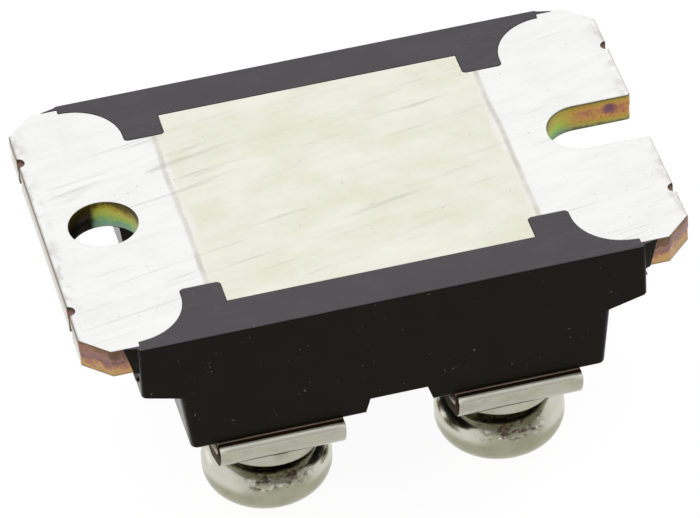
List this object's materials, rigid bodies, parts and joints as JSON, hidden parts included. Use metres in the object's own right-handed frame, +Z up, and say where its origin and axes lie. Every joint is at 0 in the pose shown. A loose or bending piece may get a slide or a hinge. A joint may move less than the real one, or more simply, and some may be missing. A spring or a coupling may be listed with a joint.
{
  "type": "schottky rectifier diode",
  "caption": "Screw-terminal rectifier diode module: flat metal base plate with mounting hole and slot, black moulded body, folded plated terminals with screws.",
  "frame": {"origin": "on the table, under the middle of the module, at the level of the ends of the screw heads", "axes": "+X along the length towards the open mounting slot, +Y across the width away from the picture's camera, +Z up to the face of the base plate"},
  "size_m": [0.038, 0.0252, 0.0173],
  "materials": {
    "plated_base": "nickel-plated copper, brushed satin, bare copper where it was punched",
    "moulding": "matt black moulded epoxy",
    "terminal_plating": "nickel-plated copper strip",
    "screw_plating": "nickel-plated steel",
    "washer_plating": "nickel-plated spring steel",
    "nut_plating": "nickel-plated steel",
    "ceramic": "matt alumina",
    "copper": "copper",
    "solder": "dull solder",
    "silicon": "polished silicon",
    "bond_wire": "drawn aluminium wire"
  },
  "bodies": {
    "root": {"anode_pad_left": "copper", "anode_pad_right": "copper", "base_plate": "plated_base", "base_solder": "solder", "bond_wire_left_1": "bond_wire", "bond_wire_left_2": "bond_wire", "bond_wire_left_3": "bond_wire", "bond_wire_right_1": "bond_wire", "bond_wire_right_2": "bond_wire", "bond_wire_right_3": "bond_wire", "cathode_pad_left": "copper", "cathode_pad_right": "copper", "die_left": "silicon", "die_right": "silicon", "die_solder_left": "solder", "die_solder_right": "solder", "lock_washer_left_far": "washer_plating", "lock_washer_left_near": "washer_plating", "lock_washer_right_far": "washer_plating", "lock_washer_right_near": "washer_plating", "moulded_body": "moulding", "nut_left_far": "nut_plating", "nut_left_near": "nut_plating", "nut_right_far": "nut_plating", "nut_right_near": "nut_plating", "screw_left_far": "screw_plating", "screw_left_near": "screw_plating", "screw_right_far": "screw_plating", "screw_right_near": "screw_plating", "substrate_back_copper": "copper", "substrate_ceramic": "ceramic", "terminal_left_far": "terminal_plating", "terminal_left_near": "terminal_plating", "terminal_right_far": "terminal_plating", "terminal_right_near": "terminal_plating", "terminal_solder_left_far": "solder", "terminal_solder_left_near": "solder", "terminal_solder_right_far": "solder", "terminal_solder_right_near": "solder"}
  },
  "joints": []
}
